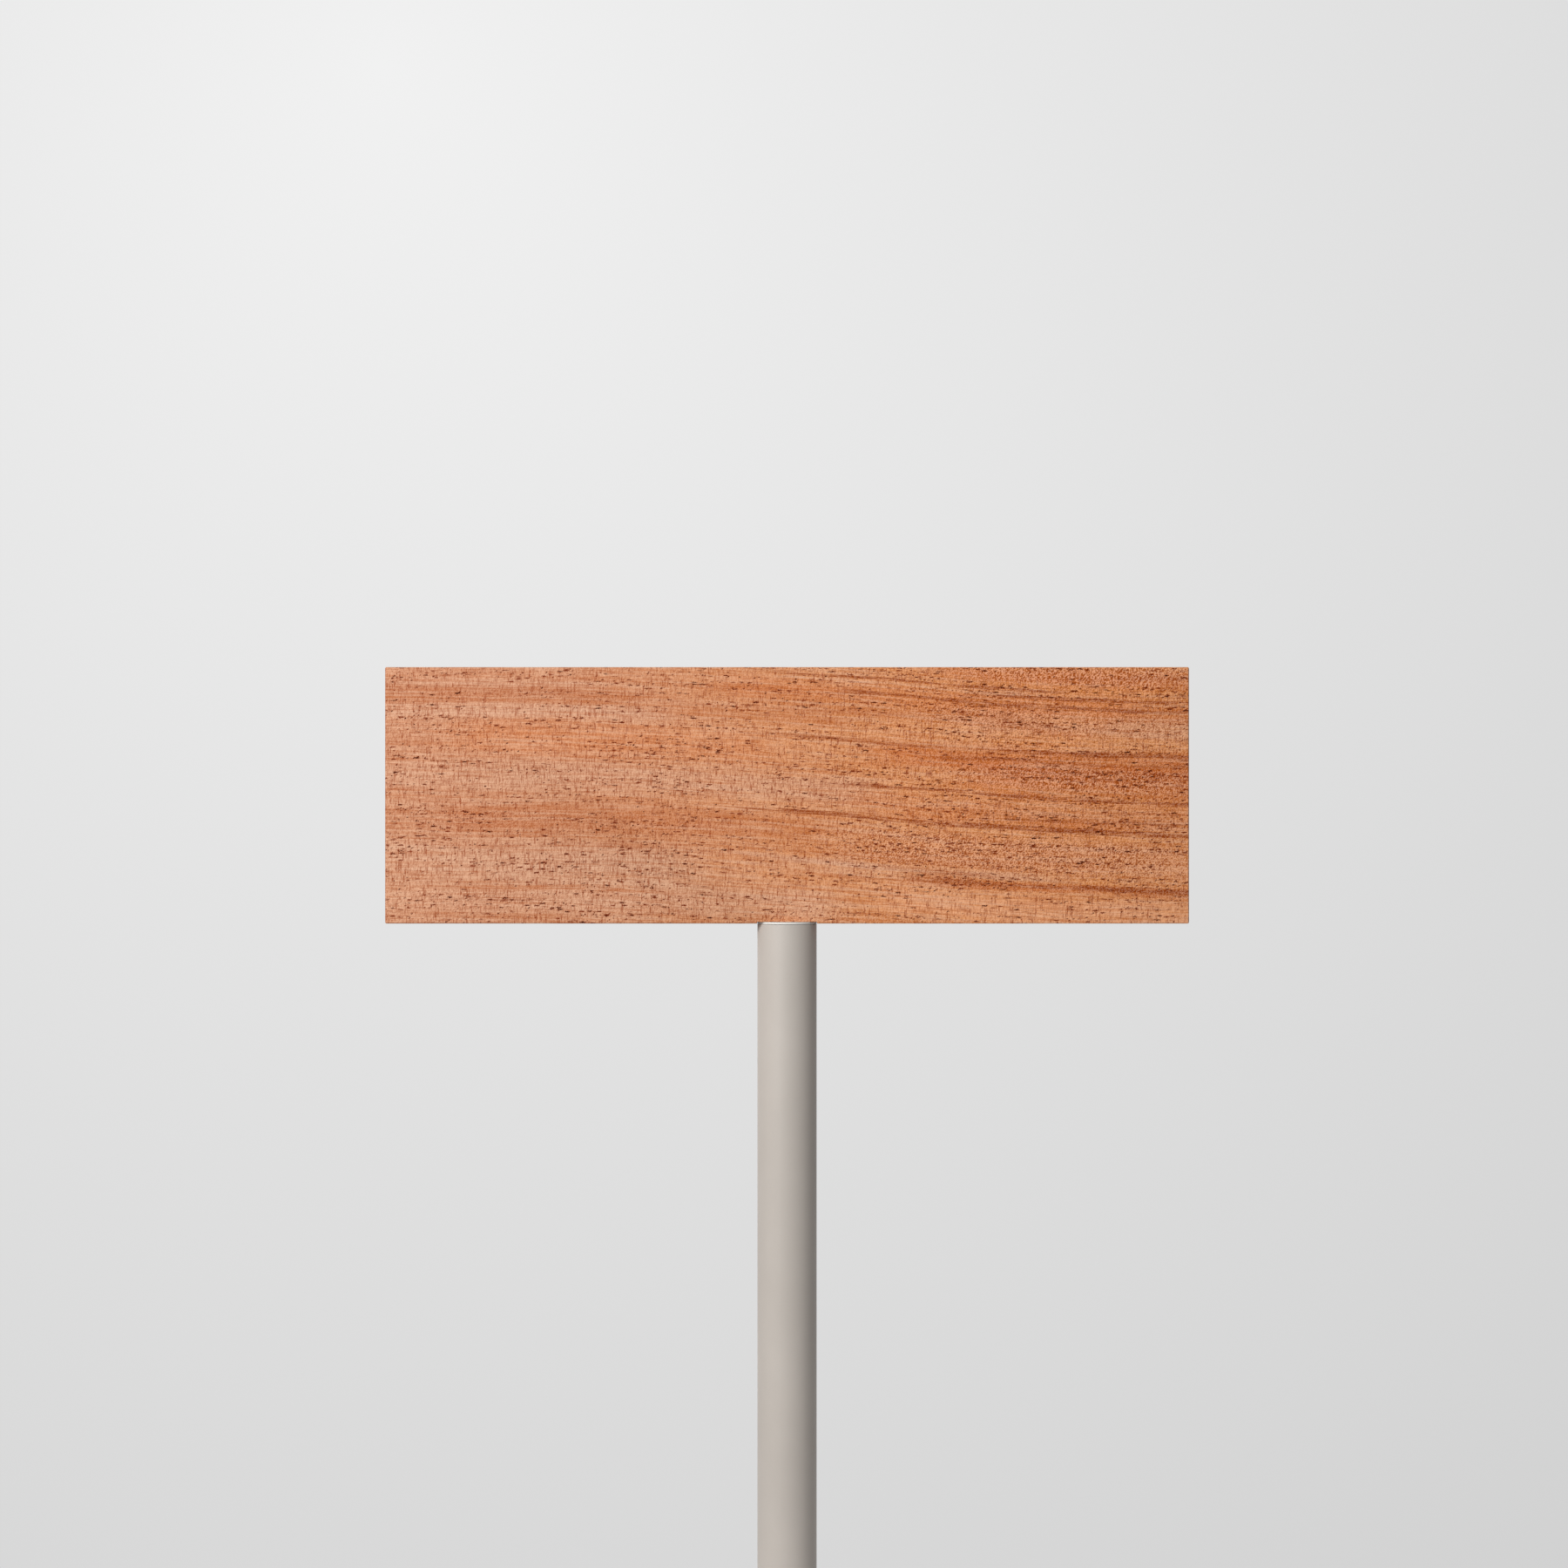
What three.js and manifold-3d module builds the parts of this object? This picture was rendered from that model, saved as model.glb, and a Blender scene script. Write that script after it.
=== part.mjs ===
// Park interpretation sign: a plain timber board carried on top of a round steel post.
//
// The post is a tube welded to a round flange that is bolted down. A plug closes its head and carries
// a flat steel spine, which lies flush in a groove in the board's back. Button-head screws through the
// spine run into threaded inserts in the board, and two shorter flat bars let into the back keep the
// wide plank from cupping. A pale plastic disc keeps the timber off the post.
//
// Units are millimetres and +Z is up. The board faces -Y. The origin is the centre of the flange's underside.

import * as THREE from "three";
import { mergeVertices, toCreasedNormals } from "three/addons/utils/BufferGeometryUtils.js";
import Module from "manifold-3d";

const wasm = await Module();
wasm.setup();

// Driving dimensions

const signHeight = 1300;

const fit = {
  seat: 0.3, // between a piece and what it rests on or lies in
  overrun: 2, // how far a cutter runs past the face it opens
};

const board = {
  width: 815,
  height: 260,
  thickness: 40,
  arris: 1, // flat on each edge
  housingDepth: 1.8, // notch in the lower edge, over the post
  insertCover: 11, // timber left in front of the inserts
  screwCover: 7, // timber left in front of the wood screws
};

const tube = { radius: 30.15, wall: 2.9 };

const plug = { thickness: 10 };

const spacer = { thickness: 2 };

const spine = {
  width: 40,
  thickness: 8,
  topMargin: 25, // below the board's upper edge
  firstHole: 40, // above the board's lower edge
  holeClearance: 0.5,
  slotTravel: 6, // room for the plank to swell and shrink
};

const bar = {
  width: 30,
  thickness: 6,
  fromBoardEnd: 125, // from the board's end to the bar's centre line
  endMargin: 20, // from the board's upper and lower edges
  holeClearance: 0.5,
  slotTravel: 5,
};

const spineScrew = {
  radius: 4,
  headLip: 3, // how far the head reaches past the shank
  headHeight: 4.4,
  headLand: 0.8, // straight rim below the dome
  tipChamfer: 0.5,
  tipRelief: 1, // left free at the bottom of the insert's hole
  socketAcrossFlats: 5,
  socketDepth: 2.6,
};

const spineWasher = { rim: 3, thickness: 1.6 };

const insert = { wall: 1.9 };

const barScrew = {
  radius: 3,
  headLip: 3,
  headHeight: 3.6,
  headRound: 1.6,
  pointLength: 6,
  tipRadius: 0.5,
  socketAcrossFlats: 4,
  socketDepth: 2,
};

const barWasher = { rim: 3, thickness: 1.2 };

const flange = {
  thickness: 12,
  chamfer: 1.5,
  rim: 25, // outside the circle of anchors
};

const weld = {
  footLeg: 5,
  spineLeg: 4,
  spineLength: 30,
};

const anchor = {
  circleRadius: 75,
  studRadius: 6,
  studChamfer: 1,
  holeClearance: 1,
};

const anchorWasher = { rim: 1, thickness: 2.5 };

const nut = {
  wall: 3.2, // from the thread to the hexagon's flats
  hexHeight: 10,
  chamfer: 0.9,
  domeInset: 1, // from the hexagon's flats to the dome
  neck: 3.5, // straight stretch below the dome
  crown: 6, // metal above the thread
};

// Counts

const spineScrewCount = 4;
const barScrewCount = 3;
const anchorCount = 4;
const hexagonSides = 6;
const facets = { post: 72, small: 20, dome: 5 };

// Places that follow from the dimensions. On the board, heights are above its lower edge.

const boardBottom = signHeight - board.height;
const boardBack = board.thickness / 2;
const postTop = board.housingDepth - spacer.thickness - 2 * fit.seat;
const headFace = postTop + fit.seat;
const spineTop = board.height - spine.topMargin;
const spineHoleHeights = evenly(spine.firstHole, spineTop - spine.width / 2, spineScrewCount);
const barTop = board.height - bar.endMargin;
const barHoleHeights = evenly(bar.endMargin + bar.width / 2, barTop - bar.width / 2, barScrewCount);
const barPlaces = {
  left: bar.fromBoardEnd - board.width / 2,
  right: board.width / 2 - bar.fromBoardEnd,
};
const spineGrooveFloor = boardBack - spine.thickness - fit.seat;
const barGrooveFloor = boardBack - bar.thickness - fit.seat;
const insertHoleEnd = board.insertCover - boardBack;
const screwHoleEnd = board.screwCover - boardBack;
const washerSeat = boardBack + fit.seat;
const flangeTop = flange.thickness + fit.seat;
const threadRadius = anchor.studRadius + fit.seat;
const nutAcrossFlats = 2 * (threadRadius + nut.wall);
const domeRadius = nutAcrossFlats / 2 - nut.domeInset;
const threadDepth = nut.hexHeight + nut.neck + domeRadius - nut.crown;

// Shared geometry

// count values from first to last, evenly spaced.
function evenly(first, last, count) {
  return Array.from({ length: count }, (_, i) => first + ((last - first) * i) / (count - 1));
}

// A closed geometry as a solid that can be joined and cut.
function toSolid(geometry) {
  const bare = geometry.clone();
  bare.deleteAttribute("normal");
  bare.deleteAttribute("uv");
  const merged = mergeVertices(bare);
  return new wasm.Manifold(
    new wasm.Mesh({
      numProp: 3,
      vertProperties: merged.attributes.position.array,
      triVerts: new Uint32Array(merged.index.array),
    }),
  );
}

function toGeometry(solid) {
  const mesh = solid.getMesh();
  const geometry = new THREE.BufferGeometry();
  geometry.setAttribute("position", new THREE.BufferAttribute(mesh.vertProperties, 3));
  geometry.setIndex(new THREE.BufferAttribute(mesh.triVerts, 1));
  return toCreasedNormals(geometry, Math.PI / 6);
}

function cut(geometry, cutters) {
  return toGeometry(cutters.reduce((solid, cutter) => solid.subtract(toSolid(cutter)), toSolid(geometry)));
}

// A profile of [radius, height] points turned about +Z.
function turned(profile, segments) {
  const points = profile.map(([radius, height]) => new THREE.Vector2(radius, height));
  return new THREE.LatheGeometry(points, segments).rotateX(Math.PI / 2);
}

// The profile points of a quarter round, from its rim up to its top.
function quarterRound(centreRadius, centreHeight, reach, rise) {
  return Array.from({ length: facets.dome + 1 }, (_, i) => {
    const angle = (Math.PI / 2) * (i / facets.dome);
    const outwards = i === facets.dome ? 0 : Math.cos(angle);
    return [centreRadius + reach * outwards, centreHeight + rise * Math.sin(angle)];
  });
}

// A shape drawn in X and Y, standing on z = 0, with so many segments to a full circle.
function plate(shape, thickness, segments) {
  return new THREE.ExtrudeGeometry(shape, {
    depth: thickness,
    bevelEnabled: false,
    curveSegments: segments / 2,
  });
}

// A shape drawn in X and Z with half-round arcs, from the plane y = back towards the front.
function uprightPlate(shape, back, thickness) {
  return plate(shape, thickness, facets.small / 2)
    .rotateX(Math.PI / 2)
    .translate(0, back, 0);
}

// What is built pointing up points out of the board's back instead.
function facingBack(geometry) {
  return geometry.rotateX(-Math.PI / 2);
}

function disc(radius) {
  return new THREE.Shape().absarc(0, 0, radius, 0, 2 * Math.PI);
}

function ring(outer, inner) {
  const shape = disc(outer);
  shape.holes.push(new THREE.Path().absarc(0, 0, inner, 0, 2 * Math.PI));
  return shape;
}

// An upright strip with a half-round top and a square foot.
function archedStrip(x, foot, top, width) {
  const radius = width / 2;
  const shape = new THREE.Shape();
  shape.moveTo(x - radius, foot);
  shape.lineTo(x + radius, foot);
  return shape.absarc(x, top - radius, radius, 0, Math.PI);
}

// An upright strip, or the path of a slot or round hole, with half-round ends.
function roundEnded(shape, x, foot, top, width) {
  const radius = width / 2;
  shape.absarc(x, foot + radius, radius, Math.PI, 2 * Math.PI);
  return shape.absarc(x, top - radius, radius, 0, Math.PI);
}

function slot(height, radius, travel) {
  const reach = radius + travel / 2;
  return roundEnded(new THREE.Path(), 0, height - reach, height + reach, 2 * radius);
}

// A cutter for a round hole in the board, from past its mouth to its blind end.
function boreCutter(radius, x, z, mouth, end) {
  const length = mouth + fit.overrun - end;
  const bore = new THREE.CylinderGeometry(radius, radius, length, facets.small);
  return bore.translate(x, end + length / 2, z);
}

function hexagonCorner(acrossFlats) {
  return acrossFlats / Math.sqrt(3);
}

function hexagonPrism(acrossFlats, height) {
  const corner = hexagonCorner(acrossFlats);
  return new THREE.CylinderGeometry(corner, corner, height, hexagonSides)
    .rotateX(Math.PI / 2)
    .translate(0, 0, height / 2);
}

function washer(headRadius, screwRadius, { rim, thickness }) {
  return plate(ring(headRadius + rim, screwRadius + fit.seat), thickness, facets.small);
}

// Materials

const timber = new THREE.MeshStandardMaterial({ color: 0xc4845f, roughness: 0.6, metalness: 0 });
const coatedSteel = new THREE.MeshStandardMaterial({ color: 0xb6aea6, roughness: 0.55, metalness: 0 });
const stainless = new THREE.MeshStandardMaterial({ color: 0xc8c9c8, roughness: 0.3, metalness: 1 });
const brass = new THREE.MeshStandardMaterial({ color: 0xb8994e, roughness: 0.4, metalness: 1 });
const palePlastic = new THREE.MeshStandardMaterial({ color: 0xe4e2dd, roughness: 0.5, metalness: 0 });

// The post is placed from the ground, and the head of the sign from the board's lower edge.

const post = new THREE.Group();
const head = new THREE.Group();
head.position.z = boardBottom;

function add(group, name, geometry, material, x = 0, y = 0, z = 0) {
  const mesh = new THREE.Mesh(geometry, material);
  mesh.name = name;
  mesh.position.set(x, y, z);
  group.add(mesh);
}

// Post: the tube and the round flange that it is welded to

function addTube() {
  const wall = ring(tube.radius, tube.radius - tube.wall);
  const length = boardBottom + postTop - flangeTop;
  add(post, "post_tube", plate(wall, length, facets.post), coatedSteel, 0, 0, flangeTop);
}

function anchorPlaces() {
  return Array.from({ length: anchorCount }, (_, i) => {
    const angle = (2 * Math.PI * (i + 1 / 2)) / anchorCount;
    return [anchor.circleRadius * Math.cos(angle), anchor.circleRadius * Math.sin(angle)];
  });
}

function addFlange() {
  const radius = anchor.circleRadius + flange.rim;
  const blank = turned(
    [
      [0, 0],
      [radius, 0],
      [radius, flange.thickness - flange.chamfer],
      [radius - flange.chamfer, flange.thickness],
      [0, flange.thickness],
    ],
    facets.post,
  );
  const holeShape = disc(anchor.studRadius + anchor.holeClearance);
  const holes = anchorPlaces().map(([x, y]) =>
    plate(holeShape, flange.thickness + 2 * fit.overrun, facets.small).translate(x, y, -fit.overrun),
  );
  add(post, "base_flange", cut(blank, holes), coatedSteel);

  const inner = tube.radius + fit.seat;
  const fillet = [
    [inner, 0],
    [inner + weld.footLeg, 0],
    [inner, weld.footLeg],
    [inner, 0],
  ];
  add(post, "base_weld", turned(fillet, facets.post), coatedSteel, 0, 0, flangeTop);
}

// Anchors: a stud, a washer and a dome nut in each hole of the flange

function domeNut() {
  const corner = hexagonCorner(nutAcrossFlats);
  const chamfered = turned(
    [
      [0, 0],
      [corner - nut.chamfer, 0],
      [corner, nut.chamfer],
      [corner, nut.hexHeight - nut.chamfer],
      [corner - nut.chamfer, nut.hexHeight],
      [0, nut.hexHeight],
    ],
    facets.small,
  );
  const shoulder = nut.hexHeight + nut.neck;
  const dome = turned(
    [[0, nut.chamfer], [domeRadius, nut.chamfer], ...quarterRound(0, shoulder, domeRadius, domeRadius)],
    facets.small,
  );
  const thread = plate(disc(threadRadius), threadDepth + fit.overrun, facets.small);
  const hexagon = toSolid(hexagonPrism(nutAcrossFlats, nut.hexHeight));
  const body = hexagon.intersect(toSolid(chamfered)).add(toSolid(dome));
  return toGeometry(body.subtract(toSolid(thread.translate(0, 0, -fit.overrun))));
}

function addAnchors() {
  const nutSeat = flangeTop + anchorWasher.thickness + fit.seat;
  const studLength = nutSeat + threadDepth - 2 * fit.seat;
  const stud = turned(
    [
      [0, 0],
      [anchor.studRadius, 0],
      [anchor.studRadius, studLength - anchor.studChamfer],
      [anchor.studRadius - anchor.studChamfer, studLength],
      [0, studLength],
    ],
    facets.small,
  );
  const washerRing = washer(hexagonCorner(nutAcrossFlats), anchor.studRadius, anchorWasher);
  const capNut = domeNut();
  anchorPlaces().forEach(([x, y], i) => {
    add(post, `anchor_stud_${i + 1}`, stud, stainless, x, y, fit.seat);
    add(post, `anchor_washer_${i + 1}`, washerRing, stainless, x, y, flangeTop);
    add(post, `anchor_nut_${i + 1}`, capNut, stainless, x, y, nutSeat);
  });
}

// Head of the post: the plug in the tube, and the pale disc, cut off straight in front of the spine

function addPlugAndSpacer() {
  const plugShape = disc(tube.radius - tube.wall - fit.seat);
  const plugPlate = plate(plugShape, plug.thickness, facets.post);
  add(head, "post_head_plug", plugPlate, coatedSteel, 0, 0, postTop - plug.thickness);

  const spacerPlate = plate(disc(tube.radius), spacer.thickness, facets.post);
  const behind = new THREE.BoxGeometry(2 * tube.radius, 2 * tube.radius, spacer.thickness + 2 * fit.overrun);
  behind.translate(0, spineGrooveFloor + tube.radius, spacer.thickness / 2);
  add(head, "head_spacer", cut(spacerPlate, [behind]), palePlastic, 0, 0, headFace);
}

// Board: the plank, with its notch over the post, and its grooves and blind holes behind

function plankBlank() {
  const { arris } = board;
  const end = board.width / 2;
  const outline = new THREE.Shape()
    .moveTo(arris - end, 0)
    .lineTo(end - arris, 0)
    .lineTo(end, arris)
    .lineTo(end, board.height - arris)
    .lineTo(end - arris, board.height)
    .lineTo(arris - end, board.height)
    .lineTo(-end, board.height - arris)
    .lineTo(-end, arris);
  return new THREE.ExtrudeGeometry(outline, {
    depth: board.thickness - 2 * arris,
    bevelThickness: arris,
    bevelSize: arris,
    bevelOffset: -arris,
    bevelSegments: 1,
  })
    .rotateX(Math.PI / 2)
    .translate(0, boardBack - arris, 0);
}

function addBoard() {
  const notchWidth = 2 * (tube.radius + fit.seat);
  const notchHeight = board.housingDepth + fit.overrun;
  const notch = new THREE.BoxGeometry(notchWidth, board.thickness + 2 * fit.overrun, notchHeight);
  notch.translate(0, 0, board.housingDepth - notchHeight / 2);

  const openSide = boardBack + fit.overrun;
  const spineOutline = archedStrip(0, -fit.overrun, spineTop + fit.seat, spine.width + 2 * fit.seat);
  const spineGroove = uprightPlate(spineOutline, openSide, openSide - spineGrooveFloor);
  const insertRadius = spineScrew.radius + insert.wall + 2 * fit.seat;
  const insertHoles = spineHoleHeights.map((z) =>
    boreCutter(insertRadius, 0, z, spineGrooveFloor, insertHoleEnd),
  );

  const barGrooves = Object.values(barPlaces).map((x) => {
    const width = bar.width + 2 * fit.seat;
    const outline = roundEnded(new THREE.Shape(), x, bar.endMargin - fit.seat, barTop + fit.seat, width);
    return uprightPlate(outline, openSide, openSide - barGrooveFloor);
  });
  const screwHoles = Object.values(barPlaces).flatMap((x) =>
    barHoleHeights.map((z) => boreCutter(barScrew.radius + fit.seat, x, z, barGrooveFloor, screwHoleEnd)),
  );

  const cutters = [notch, spineGroove, ...insertHoles, ...barGrooves, ...screwHoles];
  add(head, "sign_board", cut(plankBlank(), cutters), timber);
}

// Spine: the flat bar behind the board, the weld at its foot, and its screws, washers and inserts

function buttonHeadScrew(length) {
  const { radius, headLip, headHeight, headLand, tipChamfer, socketAcrossFlats, socketDepth } = spineScrew;
  const blank = turned(
    [
      [0, -length],
      [radius - tipChamfer, -length],
      [radius, tipChamfer - length],
      [radius, 0],
      [radius + headLip, 0],
      ...quarterRound(0, headLand, radius + headLip, headHeight - headLand),
    ],
    facets.small,
  );
  const socket = hexagonPrism(socketAcrossFlats, socketDepth + fit.overrun);
  return facingBack(cut(blank, [socket.translate(0, 0, headHeight - socketDepth)]));
}

function addSpine() {
  const outline = archedStrip(0, headFace, spineTop, spine.width);
  spineHoleHeights.forEach((height, i) => {
    const travel = i === 0 ? 0 : spine.slotTravel;
    outline.holes.push(slot(height, spineScrew.radius + spine.holeClearance, travel));
  });
  add(head, "mounting_spine", uprightPlate(outline, boardBack, spine.thickness), coatedSteel);

  const section = new THREE.Shape().moveTo(0, 0).lineTo(weld.spineLeg, 0).lineTo(0, weld.spineLeg);
  const bead = plate(section, weld.spineLength, facets.small)
    .translate(0, 0, -weld.spineLength / 2)
    .rotateX(Math.PI / 2)
    .rotateZ(Math.PI / 2);
  add(head, "spine_weld", bead, coatedSteel, 0, washerSeat, headFace);

  const headSeat = washerSeat + spineWasher.thickness + fit.seat;
  const screw = buttonHeadScrew(headSeat - insertHoleEnd - spineScrew.tipRelief);
  const headRadius = spineScrew.radius + spineScrew.headLip;
  const washerRing = facingBack(washer(headRadius, spineScrew.radius, spineWasher));
  const boreRadius = spineScrew.radius + fit.seat;
  const sleeveLength = spineGrooveFloor - insertHoleEnd - fit.seat;
  const sleeve = facingBack(plate(ring(boreRadius + insert.wall, boreRadius), sleeveLength, facets.small));
  spineHoleHeights.forEach((z, i) => {
    add(head, `board_insert_${i + 1}`, sleeve, brass, 0, insertHoleEnd + fit.seat, z);
    add(head, `spine_washer_${i + 1}`, washerRing, stainless, 0, washerSeat, z);
    add(head, `spine_screw_${i + 1}`, screw, stainless, 0, headSeat, z);
  });
}

// Anti-cup bars: flat bars across the plank's back, each held by three wood screws

function panHeadScrew(length) {
  const { radius, headLip, headHeight, headRound, pointLength, tipRadius } = barScrew;
  const { socketAcrossFlats, socketDepth } = barScrew;
  const blank = turned(
    [
      [0, -length],
      [tipRadius, -length],
      [radius, pointLength - length],
      [radius, 0],
      [radius + headLip, 0],
      ...quarterRound(radius + headLip - headRound, headHeight - headRound, headRound, headRound),
      [0, headHeight],
    ],
    facets.small,
  );
  const socket = hexagonPrism(socketAcrossFlats, socketDepth + fit.overrun);
  return facingBack(cut(blank, [socket.translate(0, 0, headHeight - socketDepth)]));
}

function addAntiCupBars() {
  const outline = roundEnded(new THREE.Shape(), 0, bar.endMargin, barTop, bar.width);
  const middle = (barScrewCount - 1) / 2;
  barHoleHeights.forEach((height, i) => {
    const travel = i === middle ? 0 : bar.slotTravel;
    outline.holes.push(slot(height, barScrew.radius + bar.holeClearance, travel));
  });
  const flat = uprightPlate(outline, boardBack, bar.thickness);
  const headSeat = washerSeat + barWasher.thickness + fit.seat;
  const screw = panHeadScrew(headSeat - screwHoleEnd - fit.seat);
  const washerRing = facingBack(washer(barScrew.radius + barScrew.headLip, barScrew.radius, barWasher));
  for (const [side, x] of Object.entries(barPlaces)) {
    add(head, `anti_cup_bar_${side}`, flat, coatedSteel, x);
    barHoleHeights.forEach((z, i) => {
      add(head, `bar_washer_${side}_${i + 1}`, washerRing, stainless, x, washerSeat, z);
      add(head, `bar_screw_${side}_${i + 1}`, screw, stainless, x, headSeat, z);
    });
  }
}

addTube();
addFlange();
addAnchors();
addPlugAndSpacer();
addBoard();
addSpine();
addAntiCupBars();

const sign = new THREE.Group();
sign.add(post, head);

export default sign;
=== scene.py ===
import math

import bmesh
import bpy
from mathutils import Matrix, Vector


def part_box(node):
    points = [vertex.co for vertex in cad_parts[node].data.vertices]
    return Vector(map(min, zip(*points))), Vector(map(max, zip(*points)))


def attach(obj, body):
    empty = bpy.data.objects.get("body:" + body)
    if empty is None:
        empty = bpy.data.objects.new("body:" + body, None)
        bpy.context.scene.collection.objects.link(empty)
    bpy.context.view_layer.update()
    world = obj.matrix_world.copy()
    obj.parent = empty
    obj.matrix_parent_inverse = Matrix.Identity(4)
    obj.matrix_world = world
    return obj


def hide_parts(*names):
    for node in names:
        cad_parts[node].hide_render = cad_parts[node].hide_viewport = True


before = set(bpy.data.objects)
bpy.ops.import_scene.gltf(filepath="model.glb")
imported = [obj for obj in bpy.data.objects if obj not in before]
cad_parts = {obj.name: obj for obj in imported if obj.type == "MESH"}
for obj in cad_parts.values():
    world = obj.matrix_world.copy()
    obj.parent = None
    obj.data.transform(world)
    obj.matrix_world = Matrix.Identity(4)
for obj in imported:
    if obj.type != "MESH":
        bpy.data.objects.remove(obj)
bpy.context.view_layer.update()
scene = bpy.context.scene
scene.view_settings.view_transform = "Standard"
mm = 0.001


# Camera
# The picture is square and taken straight on, from well back, with the board a little above its middle
# and the post running out of its lower edge.
lens_length = 85.0
sensor_width = 36.0
picture_width = 1589.4 * mm
picture_centre = Vector((-3.1 * mm, 0, 1181.5 * mm))
board_low, board_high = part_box("sign_board")
camera_data = bpy.data.cameras.new("camera")
camera_data.lens = lens_length
camera_data.sensor_width = sensor_width
camera = bpy.data.objects.new("camera", camera_data)
camera_distance = picture_width * lens_length / sensor_width
camera.location = picture_centre + Vector((0, board_low.y - camera_distance, 0))
camera.rotation_euler = (math.radians(90), 0, 0)
scene.collection.objects.link(camera)
scene.camera = camera


# Studio light
# One large soft lamp from the left of the camera and a weaker one behind the sign. The surround gives
# an even low light. Only the camera, mirroring faces and clear ones see it as a pale sweep, which is
# brightest at the upper left.
def add_node(tree, kind, inputs=None, **settings):
    """Adds a node, sets its options, and fills its sockets with values or joins them to other sockets."""
    node = tree.nodes.new(kind)
    for name, value in settings.items():
        setattr(node, name, value)
    for name, value in (inputs or {}).items():
        if isinstance(value, bpy.types.NodeSocket):
            tree.links.new(value, node.inputs[name])
        else:
            node.inputs[name].default_value = value
    return node


def calculate(tree, operation, *values):
    """Joins one Math node and gives its result."""
    return add_node(tree, "ShaderNodeMath", dict(enumerate(values)), operation=operation).outputs[0]


def reach(tree, value, low, high, low_result=0.0, high_result=1.0, way="SMOOTHSTEP"):
    """Gives low_result up to low and high_result from high on, with a smooth or straight way between."""
    inputs = {"Value": value, "From Min": low, "From Max": high, "To Min": low_result, "To Max": high_result}
    return add_node(tree, "ShaderNodeMapRange", inputs, interpolation_type=way).outputs["Result"]


def place_lamp(name, level, to_left, above, distance, width):
    """level is how bright the lamp alone makes a white face that is square to it."""
    lamp_data = bpy.data.lights.new(name, "AREA")
    lamp_data.shape = "DISK"
    lamp_data.size = width
    lamp_data.energy = level * (math.pi * distance) ** 2
    lamp = bpy.data.objects.new(name, lamp_data)
    turn, rise = math.radians(to_left), math.radians(above)
    towards = Vector((-math.sin(turn) * math.cos(rise), -math.cos(turn) * math.cos(rise), math.sin(rise)))
    lamp.location = (board_low + board_high) / 2 + towards * distance
    lamp.rotation_euler = towards.to_track_quat("Z", "Y").to_euler()
    scene.collection.objects.link(lamp)


place_lamp("front lamp", level=1.0, to_left=36, above=25, distance=4.5, width=2.2)
place_lamp("back lamp", level=0.6, to_left=155, above=30, distance=4.5, width=2.2)

surround_light = 0.255
sweep_brightest = 0.88
sweep_darkest = 0.64
sweep_spread = 0.5
sweep_centre = (-0.106, 0.976, 0.19)
white = (1.0, 1.0, 1.0, 1.0)
world = bpy.data.worlds.new("studio")
world.use_nodes = True
scene.world = world
tree = world.node_tree
tree.nodes.clear()
direction = add_node(tree, "ShaderNodeTexCoord").outputs["Generated"]
from_centre = add_node(tree, "ShaderNodeVectorMath", {0: direction, 1: sweep_centre}, operation="DISTANCE")
from_centre = from_centre.outputs["Value"]
sweep = reach(tree, from_centre, 0.0, sweep_spread, sweep_brightest, sweep_darkest, "LINEAR")
ray = add_node(tree, "ShaderNodeLightPath").outputs
seen = calculate(tree, "MAXIMUM", ray["Is Camera Ray"], ray["Is Glossy Ray"])
seen = calculate(tree, "MAXIMUM", seen, ray["Is Transmission Ray"])
strength = add_node(tree, "ShaderNodeMix", {0: seen, 2: surround_light, 3: sweep}, data_type="FLOAT")
background = add_node(tree, "ShaderNodeBackground", {"Color": white, "Strength": strength.outputs[0]})
add_node(tree, "ShaderNodeOutputWorld", {"Surface": background.outputs[0]})


# Floor
# A round pale floor that fades out before the picture's lower edge, so only other views see it.
# It is clear from below, so that a low view shows the sign's underside.
floor_radius = 1.65
floor_fade_from = 0.7
floor_sides = 96
floor_grey = 0.72
floor_mesh = bpy.data.meshes.new("floor")
work = bmesh.new()
bmesh.ops.create_circle(work, cap_ends=True, radius=floor_radius, segments=floor_sides)
work.to_mesh(floor_mesh)
work.free()
floor = bpy.data.objects.new("floor", floor_mesh)
scene.collection.objects.link(floor)
floor_paint = bpy.data.materials.new("floor_paint")
floor_paint.use_nodes = True
tree = floor_paint.node_tree
tree.nodes.clear()
place = add_node(tree, "ShaderNodeTexCoord").outputs["Object"]
from_post = add_node(tree, "ShaderNodeVectorMath", {0: place}, operation="LENGTH").outputs["Value"]
faded = reach(tree, from_post, floor_fade_from, floor_radius)
from_below = add_node(tree, "ShaderNodeNewGeometry").outputs["Backfacing"]
faded = calculate(tree, "MAXIMUM", faded, from_below)
matt = add_node(tree, "ShaderNodeBsdfDiffuse", {"Color": (floor_grey, floor_grey, floor_grey, 1)})
clear = add_node(tree, "ShaderNodeBsdfTransparent")
surface = add_node(tree, "ShaderNodeMixShader", {0: faded, 1: matt.outputs[0], 2: clear.outputs[0]})
add_node(tree, "ShaderNodeOutputMaterial", {"Surface": surface.outputs[0]})
floor_mesh.materials.append(floor_paint)


# Foot plate
# A round plate flame-cut from 12 mm steel, drilled for four anchor bolts, with its upper edge chamfered.
# It is powder-coated together with all the steel above it, in a matt warm grey.
def paint(red, green, blue):
    """A colour as a picture program gives it, from 0 to 255, made linear."""
    def linear(value):
        share = value / 255
        return share / 12.92 if share <= 0.04045 else ((share + 0.055) / 1.055) ** 2.4
    return (linear(red), linear(green), linear(blue), 1.0)


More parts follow.
